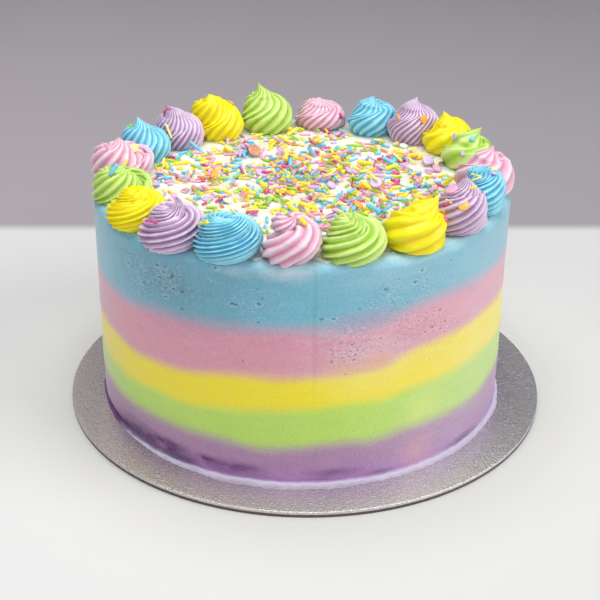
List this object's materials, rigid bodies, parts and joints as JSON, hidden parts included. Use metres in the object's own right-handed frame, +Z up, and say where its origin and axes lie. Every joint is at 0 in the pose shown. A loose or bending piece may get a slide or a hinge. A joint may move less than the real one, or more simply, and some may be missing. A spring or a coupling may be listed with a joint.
{
  "type": "rainbow cake",
  "caption": "Round layer cake with softly blended rainbow icing bands, a ring of piped swirls on the rim and sprinkles on top, on its silver card.",
  "frame": {"origin": "centre of the card's underside, on the surface that the cake stands on", "axes": "+Z up along the cake's axis; the side that the picture shows faces -Y"},
  "size_m": [0.254, 0.254, 0.144],
  "materials": {
    "silver_card": "silver foil on card, finely embossed, soft blurred reflections",
    "side_icing": "smoothed icing that blends from purple at the foot through green, yellow and pink to blue at the rim, satin, with small air pits",
    "white_icing": "ivory icing, satin, under scattered sprinkles of many colours",
    "pink_icing": "piped icing, satin, with ridges",
    "green_icing": "piped icing, satin, with ridges",
    "yellow_icing": "piped icing, satin, with ridges",
    "purple_icing": "piped icing, satin, with fine ridges",
    "blue_icing": "piped icing, satin, with fine ridges"
  },
  "bodies": {
    "root": {"cake_board": "silver_card", "cake_body": "side_icing", "top_icing": "white_icing", "swirl_01_pink": "pink_icing", "swirl_02_green": "green_icing", "swirl_03_yellow": "yellow_icing", "swirl_04_purple": "purple_icing", "swirl_05_blue": "blue_icing", "swirl_06_pink": "pink_icing", "swirl_07_green": "green_icing", "swirl_08_yellow": "yellow_icing", "swirl_09_purple": "purple_icing", "swirl_10_blue": "blue_icing", "swirl_11_pink": "pink_icing", "swirl_12_green": "green_icing", "swirl_13_yellow": "yellow_icing", "swirl_14_purple": "purple_icing", "swirl_15_blue": "blue_icing", "swirl_16_pink": "pink_icing", "swirl_17_green": "green_icing", "swirl_18_yellow": "yellow_icing", "swirl_19_purple": "purple_icing", "swirl_20_blue": "blue_icing"}
  },
  "joints": []
}
